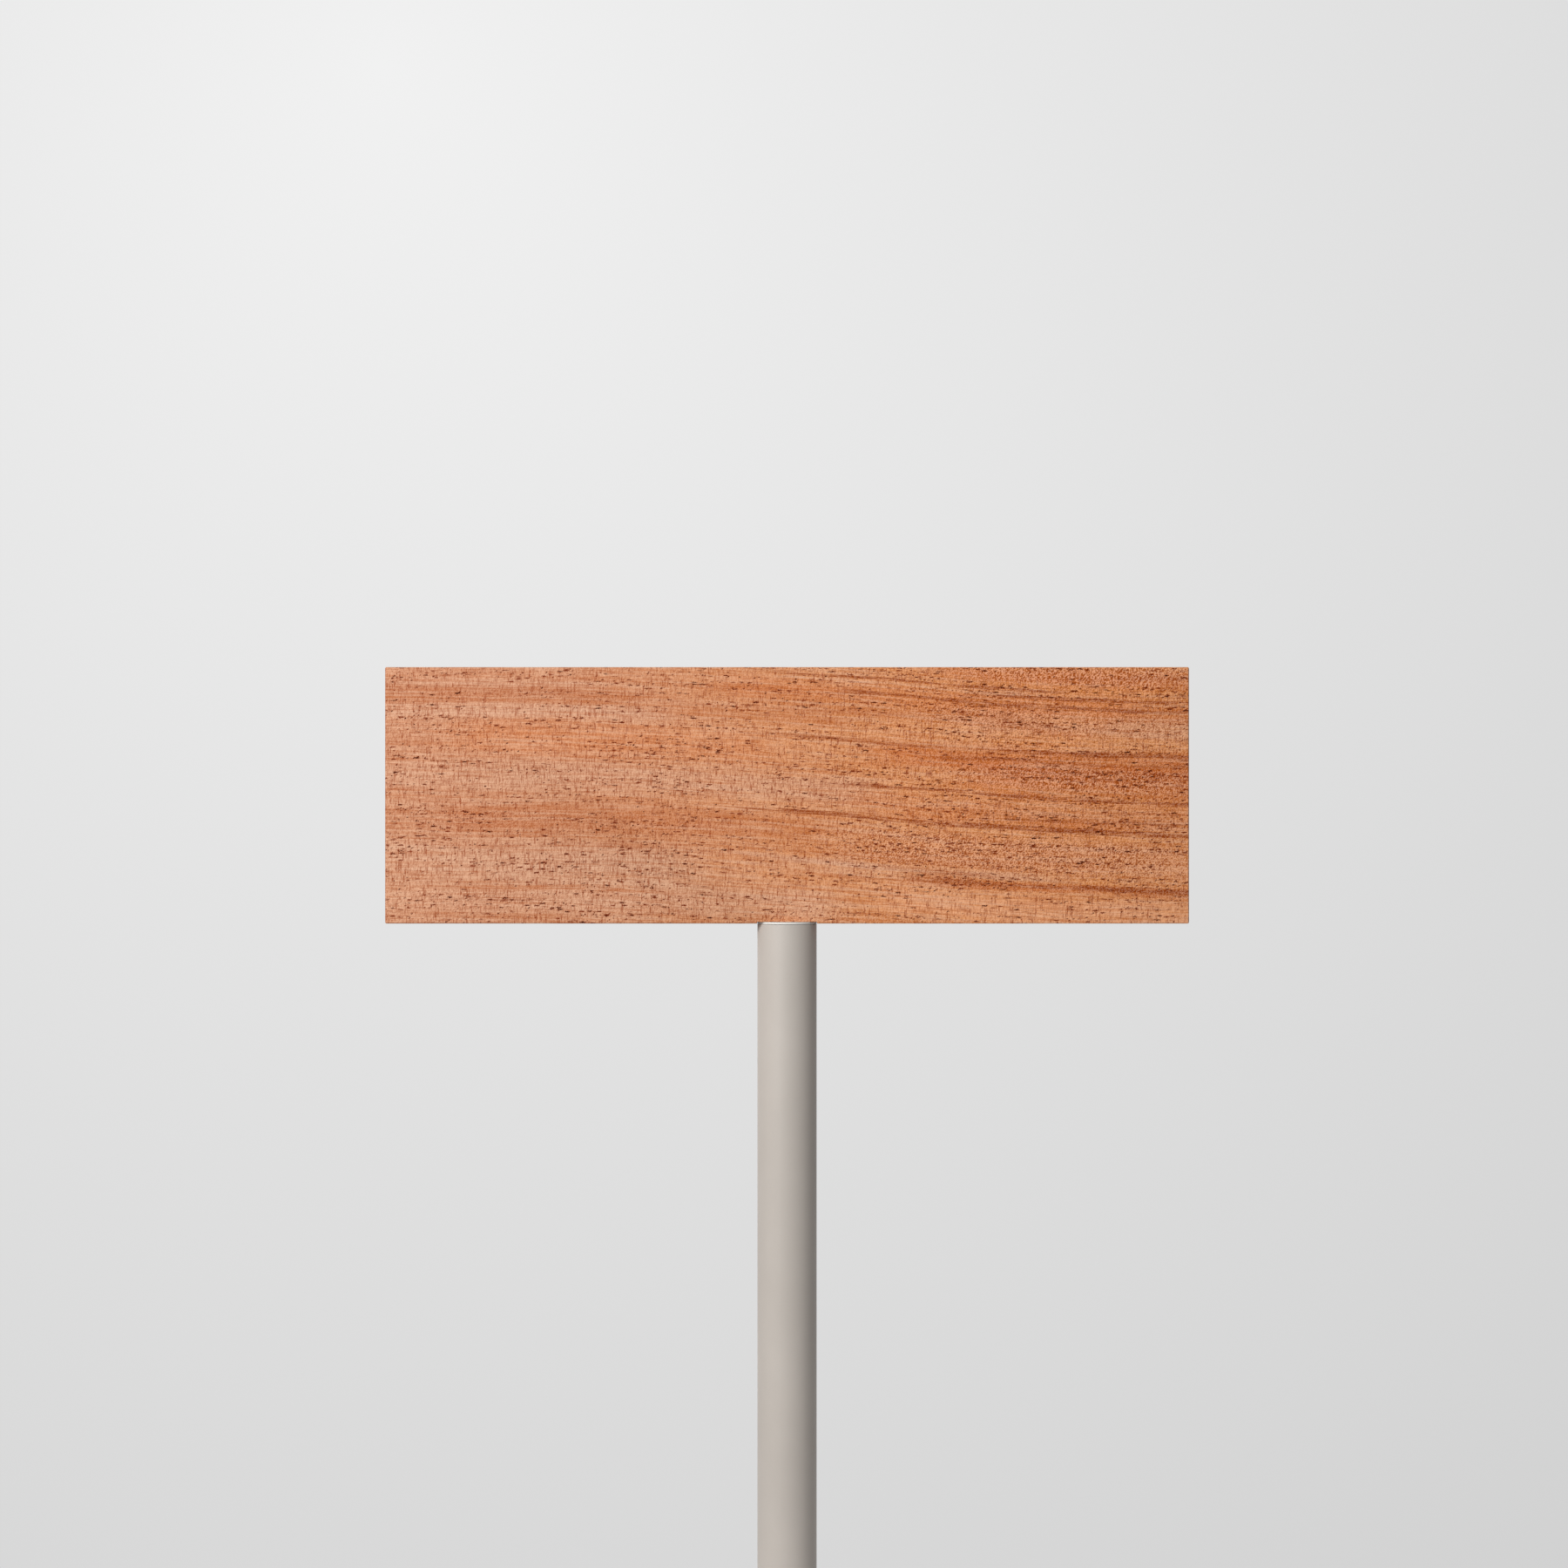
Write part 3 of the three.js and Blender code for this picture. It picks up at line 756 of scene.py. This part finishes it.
lines = noise(tree, grain, (110, 20, 2.6), detail=3.0, roughness=0.6)
line_strength = reach(tree, along, -200.0, 200.0, 0.35, 0.5)
dark_lines = times(tree, reach(tree, lines, 0.50, 0.66), line_strength)
colour = mixed(tree, dark_lines, colour, rust)
colour = mixed(tree, reach(tree, lines, 0.50, 0.36, 0.0, 0.4), colour, pale_pink)

# Thin streaks of darker gum and pale lines: the same measures.
thin_streaks = (
    (dark_rust, 0.45, 146, 1.2, 290, 420),
    (dark_rust, 0.90, 130, 1.8, -20, 270),
    (pale_pink, 0.40, 125, 1.4, -20, 270),
    (dark_rust, 0.80, 123, 1.8, 200, 450),
    (dark_rust, 0.70, 114, 2.0, 60, 450),
    (dark_rust, 0.50, 66, 1.6, -10, 160),
    (dark_rust, 0.75, 66, 2.2, 200, 450),
    (dark_rust, 0.50, 56, 1.8, 150, 450),
    (dark_rust, 0.45, 46, 1.6, 230, 450),
    (dark_rust, 0.80, 21, 1.6, 60, 450),
    (dark_rust, 0.60, -1, 1.3, 240, 450),
    (dark_rust, 0.85, -11, 1.9, -40, 450),
    (dark_rust, 0.50, -69, 2.2, 130, 290),
    (dark_rust, 1.00, -68.5, 2.2, 290, 450),
    (rust, 0.40, -101, 2.6, -340, -110),
    (dark_rust, 0.40, -113, 1.2, -345, -240),
)
fray = noise(tree, grain, (70, 6, 1.6), detail=3.0)
frayed_across = calculate(tree, "ADD", across, reach(tree, fray, 0.25, 0.75, -2.6, 2.6, "LINEAR"))
frayed_grain = vector_of(tree, along, parts["Y"], frayed_across)
broken = reach(tree, noise(tree, grain, (30, 4, 1.0), detail=3.0, roughness=0.6), 0.38, 0.58, 0.1, 1.75)
colour = lay_stripes(tree, frayed_grain, colour, thin_streaks, broken)[0]


# Vessels and rays show where the saw has cut them: one in some of the cells of a loose mesh.
def cut_cells(tree, grain, cell, smallest, widest, share):
    """A mask of small ovals in cells whose sizes are in millimetres. share is how many cells have one."""
    scaled = add_node(tree, "ShaderNodeVectorMath", {0: grain, 1: cell}, operation="DIVIDE").outputs[0]
    cells = add_node(tree, "ShaderNodeTexVoronoi", {"Vector": scaled, "Scale": 1.0})
    chance = add_node(tree, "ShaderNodeSeparateColor", {0: cells.outputs["Color"]}).outputs
    width = reach(tree, chance["Green"], 0.0, 1.0, smallest, widest, "LINEAR")
    inside = calculate(tree, "DIVIDE", cells.outputs["Distance"], width)
    inside = reach(tree, inside, 0.6, 1.2, 1.0, 0.0)
    there = calculate(tree, "LESS_THAN", chance["Red"], share)
    depth = reach(tree, chance["Blue"], 0.0, 1.0, 0.3, 1.0, "LINEAR")
    return times(tree, inside, times(tree, there, depth))


jitter = reach(tree, noise(tree, place, (2.2, 3.0, 3.5), detail=2.0), 0.2, 0.8, -0.8, 0.8, "LINEAR")
rough_along = calculate(tree, "ADD", along, jitter)
rough_grain = vector_of(tree, rough_along, parts["Y"], calculate(tree, "ADD", across, jitter))
torn = reach(tree, noise(tree, place, (1.3, 1.5, 0.7), detail=2.0), 0.2, 0.8, -0.8, 0.8, "LINEAR")
torn_along = calculate(tree, "ADD", along, times(tree, torn, 2.0))
torn_grain = vector_of(tree, torn_along, parts["Y"], calculate(tree, "ADD", across, torn))
ray_share = reach(tree, pale_share, 0.0, 0.5, 0.5, 0.9)
thick_rays = cut_cells(tree, rough_grain, (1.7, 6.0, 13.0), 0.24, 0.46, ray_share)
thin_rays = cut_cells(tree, rough_grain, (1.2, 5.0, 8.0), 0.22, 0.44, ray_share)
ray_mask = calculate(tree, "MAXIMUM", thick_rays, times(tree, thin_rays, 0.8))
colour = mixed(tree, times(tree, ray_mask, 0.85), colour, ray_red)

# Close speckle, leaning to the right, where the pores are crowded. Its dark flecks are painted shade and its
# pale flecks painted highlights, for the torn grain's fine relief. Each row holds how strong it is and
# its stripe's measures. A place at the lower right is smoother, with fewer pores.
crowded_places = (
    (0.95, 148, 14, 150, 450),
    (0.7, 97, 20, 100, 450),
    (0.9, 40, 16, 150, 450),
    (0.85, -38, 24, 40, 450),
    (0.35, -31, 16, -420, 40),
    (0.3, 95, 10, -420, 60),
    (0.35, -112, 20, -450, 0),
)
crowding = reach(tree, along, -80.0, 260.0, 0.25, 0.50)
for strength, middle, half_height, left, right in crowded_places:
    mask = stripe(tree, grain, middle, half_height, left, right, fade=200.0)
    crowding = calculate(tree, "MAXIMUM", crowding, times(tree, mask, strength))
smooth_place = stripe(tree, grain, -93, 18, 60, 450)
crowding = times(tree, crowding, reach(tree, smooth_place, 0.0, 1.0, 1.0, 0.5))
lean = times(tree, across, -0.6)
leaning_grain = vector_of(tree, calculate(tree, "ADD", rough_along, lean), parts["Y"], across)
speckle = noise(tree, leaning_grain, (0.85, 1.2, 1.3), detail=0.0)
# Painted shade in the dark flecks and painted highlights in the pale ones; the dark flecks also sink the
# bump.
painted_shade_flecks = times(tree, reach(tree, speckle, 0.52, 0.60, 0.0, 0.9), crowding)
painted_highlight_flecks = times(tree, reach(tree, speckle, 0.50, 0.42, 0.0, 0.70), crowding)
colour = mixed(tree, painted_shade_flecks, colour, flecks_shade_brown)
colour = mixed(tree, painted_highlight_flecks, colour, flecks_highlight_pink)

pore_share = reach(tree, crowding, 0.25, 1.0, 0.34, 0.75, "LINEAR")
rows = reach(tree, noise(tree, grain, (90, 12, 5), detail=3.0), 0.42, 0.60, 0.08, 1.0)
pore_share = times(tree, pore_share, rows)
every_pore = 0.0
# Pores in short, longer and long cells: the cell, the smallest and widest pore, and how many.
for cell, smallest, widest, how_many in (
    ((2.2, 2.4, 1.9), 0.24, 0.46, 0.7),
    ((8.0, 2.8, 1.8), 0.18, 0.42, 1.1),
    ((22.0, 3.2, 2.0), 0.10, 0.24, 1.1),
):
    size_share = times(tree, pore_share, how_many)
    size_pores = cut_cells(tree, torn_grain, cell, smallest, widest, size_share)
    every_pore = calculate(tree, "MAXIMUM", size_pores, every_pore)
pore_rim = calculate(tree, "MINIMUM", times(tree, every_pore, 2.0), 1.0)
pore_core = calculate(tree, "POWER", every_pore, 2.6)
colour = mixed(tree, pore_rim, colour, rim_red)
colour = mixed(tree, pore_core, colour, pore_brown)

# The ends drink more oil than the faces, and dust lies on the top edge.
facing = add_node(tree, "ShaderNodeNewGeometry").outputs["Normal"]
end_on = calculate(tree, "ABSOLUTE", add_node(tree, "ShaderNodeSeparateXYZ", {0: facing}).outputs["X"])
colour = mixed(tree, reach(tree, end_on, 0.6, 0.9, 0.0, 0.55), colour, end_brown)
colour, dust = dusted(tree, place, colour, amount=0.25, patch=18.0)
tree.links.new(colour, shader.inputs["Base Color"])
shine = reach(tree, fibres, 0.3, 0.7, 0.52, 0.62)
shine = calculate(tree, "MAXIMUM", shine, reach(tree, every_pore, 0.0, 1.0, 0.5, 0.85))
tree.links.new(shine, shader.inputs["Roughness"])
shader.inputs["Specular IOR Level"].default_value = 0.12
height = calculate(tree, "SUBTRACT", times(tree, fibres, 0.25), every_pore)
height = calculate(tree, "SUBTRACT", height, times(tree, painted_shade_flecks, 0.3))
add_bump(tree, shader, height, 0.12 * mm)

plank = eased_copy("sign_board", "plank", 0.4 * mm, oiled_wood)
stand_for(plank, "timber", "sign_board")


# Board inserts
# Turned brass sleeves with a coarse outer thread, screwed into the board's back.
# They take the spine's machine screws.
brass_clean = paint(196, 164, 92)
brass_worn = paint(160, 122, 62)
brass, tree, shader, place = new_material("turned_brass")
marks = rubbed(tree, shader, place, length=6.0, width=0.3, smooth=0.28, rough=0.5, depth=0.02 * mm)
colour = mixed(tree, reach(tree, marks, 0.45, 0.75), brass_clean, brass_worn)
tree.links.new(colour, shader.inputs["Base Color"])
shader.inputs["Metallic"].default_value = 1.0
spine_holes = (1, 2, 3, 4)
for number in spine_holes:
    dress(f"board_insert_{number}", brass)


# Anti-cup bars
# Two flat bars, 30 by 6 mm, let into the board's back near its ends. They keep the wide plank flat.
# Three wood screws hold each, the outer two in slots.
bar_sides = ("left", "right")
for side in bar_sides:
    bar = eased_copy(f"anti_cup_bar_{side}", f"flat_bar_{side}", 0.5 * mm, powder_coat)
    stand_for(bar, "powder_coat", f"anti_cup_bar_{side}")


# Washers
# Plain washers, punched from stainless sheet, under each screw of the bars and of the spine.
# They bridge the slots, in which the screws can slide.
steel_clean = paint(202, 201, 198)
steel_worn = paint(178, 177, 174)
steel_stained = paint(168, 163, 156)
stainless, tree, shader, place = new_material("stainless_steel")
marks = rubbed(tree, shader, place, length=8.0, width=0.25, smooth=0.26, rough=0.42, depth=0.015 * mm)
stain = reach(tree, noise(tree, place, (6, 6, 6), detail=3.0), 0.4, 0.7)
colour = mixed(tree, reach(tree, marks, 0.45, 0.75), steel_clean, steel_worn)
colour = mixed(tree, times(tree, stain, 0.35), colour, steel_stained)
colour, dust = dusted(tree, place, colour, amount=0.35, patch=9.0)
tree.links.new(colour, shader.inputs["Base Color"])
tree.links.new(reach(tree, dust, 0.0, 0.35, 1.0, 0.4), shader.inputs["Metallic"])

facing_back = (math.radians(-90), 0.0, 0.0)


def back_places(nodes):
    """Where each of some fasteners on the back has its face nearest the board."""
    boxes = [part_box(node) for node in nodes]
    return [((low.x + high.x) / 2, low.y, (low.z + high.z) / 2) for low, high in boxes]


def set_of_rings(name, nodes, inner_radius, easing):
    """Washers on the back in place of some nodes, with the nodes' own diameter and thickness."""
    low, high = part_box(nodes[0])
    values = {
        "Inner Radius": inner_radius,
        "Outer Radius": (high.z - low.z) / 2,
        "Height": high.y - low.y,
        "Easing": easing,
        "Sides": 64,
        "Turn": facing_back,
    }
    washers = grow(name, ring_tree, back_places(nodes), values, stainless)
    stand_for(washers, "stainless", *nodes)


bar_places = [f"{side}_{number}" for side in bar_sides for number in (1, 2, 3)]
bar_washers = [f"bar_washer_{bar_place}" for bar_place in bar_places]
spine_washers = [f"spine_washer_{number}" for number in spine_holes]
set_of_rings("bar_washers", bar_washers, inner_radius=3.3 * mm, easing=0.2 * mm)
set_of_rings("spine_washers", spine_washers, inner_radius=4.3 * mm, easing=0.25 * mm)


# Screws
# Stainless screws with low domed heads and hexagon sockets: wood screws in the bars, and machine screws
# in the spine.
dome_group, given, result = new_group(
    "dome",
    "GeometryNodeTree",
    {
        "Radius": ("NodeSocketFloat", 7.0 * mm),
        "Height": ("NodeSocketFloat", 4.4 * mm),
        "Squareness": ("NodeSocketFloat", 2.0),
        "Sides": ("NodeSocketInt", 48),
    },
    {"Geometry": "NodeSocketGeometry"},
)
quarter_turn = math.pi / 2
dome_steps = 14
tip_point = 0.01 * mm
upright = add_node(dome_group, "GeometryNodeCurvePrimitiveLine", {"Start": (0, 0, 0), "End": (0, 0, 1)})
upright = add_node(
    dome_group, "GeometryNodeResampleCurve", {"Curve": upright.outputs[0], "Count": dome_steps}, mode="COUNT"
)
share = add_node(dome_group, "GeometryNodeSplineParameter").outputs["Factor"]
rise = calculate(dome_group, "SINE", times(dome_group, share, quarter_turn))
rise = calculate(dome_group, "POWER", rise, calculate(dome_group, "DIVIDE", 2.0, given["Squareness"]))
rise = times(dome_group, rise, given["Height"])
upright = add_node(
    dome_group,
    "GeometryNodeSetPosition",
    {"Geometry": upright.outputs[0], "Position": vector_of(dome_group, z=rise)},
)
reached = add_node(dome_group, "GeometryNodeInputPosition").outputs[0]
reached = add_node(dome_group, "ShaderNodeSeparateXYZ", {0: reached}).outputs["Z"]
reached = calculate(dome_group, "DIVIDE", reached, given["Height"])
width = calculate(dome_group, "SUBTRACT", 1.0, calculate(dome_group, "POWER", reached, given["Squareness"]))
width = calculate(dome_group, "MAXIMUM", width, 0.0)
width = calculate(dome_group, "POWER", width, calculate(dome_group, "DIVIDE", 1.0, given["Squareness"]))
outline = add_node(
    dome_group, "GeometryNodeCurvePrimitiveCircle", {"Resolution": given["Sides"], "Radius": given["Radius"]}
)
dome = add_node(
    dome_group,
    "GeometryNodeCurveToMesh",
    {"Curve": upright.outputs[0], "Profile Curve": outline.outputs[0], "Scale": width, "Fill Caps": True},
)
dome = add_node(
    dome_group, "GeometryNodeMergeByDistance", {"Geometry": dome.outputs[0], "Distance": tip_point}
)
dome_group.links.new(dome.outputs[0], result["Geometry"])


def joined(tree, operation, *shapes):
    """Adds closed shapes, keeps what they share, or cuts the later ones from the first."""
    node = add_node(tree, "GeometryNodeMeshBoolean", operation=operation, solver="EXACT")
    for number, shape in enumerate(shapes):
        cut_from = operation == "DIFFERENCE" and number == 0
        tree.links.new(shape, node.inputs["Mesh 1" if cut_from else "Mesh 2"])
    return node.outputs[0]


def round_bar(tree, radius, depth, sides):
    """An upright bar with its middle at the origin. With six sides it is a hexagon."""
    inputs = {"Vertices": sides, "Radius": radius, "Depth": depth}
    return add_node(tree, "GeometryNodeMeshCylinder", inputs).outputs[0]


def corner_radius(tree, across_flats):
    """The radius of a hexagon's corners."""
    return times(tree, across_flats, 1 / math.sqrt(3))


screw_tree, given, result = new_tree(
    "domed screw",
    {
        "Head Radius": 7.0 * mm,
        "Head Height": 4.4 * mm,
        "Squareness": 2.0,
        "Socket Width": 5.0 * mm,
        "Socket Depth": 2.6 * mm,
        "Shank Radius": 4.0 * mm,
        "Shank Length": 30.0 * mm,
        "Turn": facing_back,
    },
)
head = add_node(screw_tree, "GeometryNodeGroup", node_tree=dome_group)
for title in ("Radius", "Height"):
    screw_tree.links.new(given[f"Head {title}"], head.inputs[title])
screw_tree.links.new(given["Squareness"], head.inputs["Squareness"])
# The shank starts inside the head, and the bar that cuts the socket stands half above it.
buried = times(screw_tree, given["Head Height"], 0.25)
shank_length = calculate(screw_tree, "ADD", given["Shank Length"], buried)
half_shank = times(screw_tree, shank_length, 0.5)
shank_middle = calculate(screw_tree, "SUBTRACT", buried, half_shank)
shank = moved(screw_tree, round_bar(screw_tree, given["Shank Radius"], shank_length, sides=32), shank_middle)
whole = joined(screw_tree, "UNION", head.outputs[0], shank)
socket_length = times(screw_tree, given["Socket Depth"], 2.0)
socket = round_bar(screw_tree, corner_radius(screw_tree, given["Socket Width"]), socket_length, sides=6)
screw = joined(screw_tree, "DIFFERENCE", whole, moved(screw_tree, socket, given["Head Height"]))
repeat_on_places(screw_tree, given, result, screw)


def set_of_screws(name, nodes, head_height, values):
    """Domed screws on the back in place of some nodes, as long and as wide as the nodes."""
    low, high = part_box(nodes[0])
    seat = high.y - head_height
    seats = [(x, y + seat - low.y, z) for x, y, z in back_places(nodes)]
    sizes = {
        "Head Radius": (high.z - low.z) / 2,
        "Head Height": head_height,
        "Shank Length": seat - low.y,
    }
    screws = grow(name, screw_tree, seats, dict(sizes, **values), stainless)
    stand_for(screws, "stainless", *nodes)


bar_screws = [f"bar_screw_{bar_place}" for bar_place in bar_places]
bar_screw_values = {
    "Squareness": 2.6,
    "Socket Width": 4.0 * mm,
    "Socket Depth": 2.0 * mm,
    "Shank Radius": 3.0 * mm,
}
spine_screws = [f"spine_screw_{number}" for number in spine_holes]
set_of_screws("bar_screws", bar_screws, head_height=3.6 * mm, values=bar_screw_values)
set_of_screws("spine_screws", spine_screws, head_height=4.4 * mm, values={})


# Anchor bolts
# Four stainless studs on a 150 mm circle, cast into the footing. Each holds the foot plate down by a
# washer and a dome nut.
anchors = (1, 2, 3, 4)
for number in anchors:
    dress(f"anchor_stud_{number}", stainless)


def lower_places(nodes):
    """The middle of the underside of each of some nodes."""
    boxes = [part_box(node) for node in nodes]
    return [((low.x + high.x) / 2, (low.y + high.y) / 2, low.z) for low, high in boxes]


anchor_washers = [f"anchor_washer_{number}" for number in anchors]
washer_low, washer_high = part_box(anchor_washers[0])
washer_values = {
    "Inner Radius": 6.5 * mm,
    "Outer Radius": (washer_high.x - washer_low.x) / 2,
    "Height": washer_high.z - washer_low.z,
    "Easing": 0.3 * mm,
    "Sides": 72,
}
foot_washers = grow("foot_washers", ring_tree, lower_places(anchor_washers), washer_values, stainless)
stand_for(foot_washers, "stainless", *anchor_washers)

nut_tree, given, result = new_tree(
    "dome nut",
    {
        "Width Across Flats": 19.0 * mm,
        "Hexagon Height": 10.0 * mm,
        "Neck Height": 3.5 * mm,
        "Dome Radius": 8.5 * mm,
        "Bore Radius": 6.3 * mm,
        "Bore Depth": 16.0 * mm,
        "Turn": (0.0, 0.0, 0.0),
    },
)
hexagon_radius = corner_radius(nut_tree, given["Width Across Flats"])
hexagon = round_bar(nut_tree, hexagon_radius, given["Hexagon Height"], sides=6)
hexagon_middle = times(nut_tree, given["Hexagon Height"], 0.5)
hexagon = moved(nut_tree, hexagon, hexagon_middle)
# A cone takes off the hexagon's upper corners, at 30 degrees to its top.
cone_slope = math.tan(math.radians(60))
flat_radius = times(nut_tree, given["Width Across Flats"], 0.49)
cone_spread = times(nut_tree, given["Hexagon Height"], cone_slope)
cone = add_node(
    nut_tree,
    "GeometryNodeMeshCone",
    {
        "Vertices": 72,
        "Radius Top": flat_radius,
        "Radius Bottom": calculate(nut_tree, "ADD", flat_radius, cone_spread),
        "Depth": given["Hexagon Height"],
    },
)
chamfered = joined(nut_tree, "INTERSECT", hexagon, cone.outputs[0])
dome_foot = calculate(nut_tree, "ADD", given["Hexagon Height"], given["Neck Height"])
cap_sides = 64
neck = round_bar(nut_tree, given["Dome Radius"], dome_foot, sides=cap_sides)
neck = moved(nut_tree, neck, times(nut_tree, dome_foot, 0.5))
cap = add_node(nut_tree, "GeometryNodeGroup", {"Sides": cap_sides}, node_tree=dome_group)
for title in ("Radius", "Height"):
    nut_tree.links.new(given["Dome Radius"], cap.inputs[title])
cap = moved(nut_tree, cap.outputs[0], dome_foot)
solid = joined(nut_tree, "UNION", chamfered, neck, cap)
bore_length = times(nut_tree, given["Bore Depth"], 2.0)
bore = round_bar(nut_tree, given["Bore Radius"], bore_length, sides=32)
repeat_on_places(nut_tree, given, result, joined(nut_tree, "DIFFERENCE", solid, bore))

anchor_nuts = [f"anchor_nut_{number}" for number in anchors]
dome_nuts = grow("dome_nuts", nut_tree, lower_places(anchor_nuts), {}, stainless)
stand_for(dome_nuts, "stainless", *anchor_nuts)
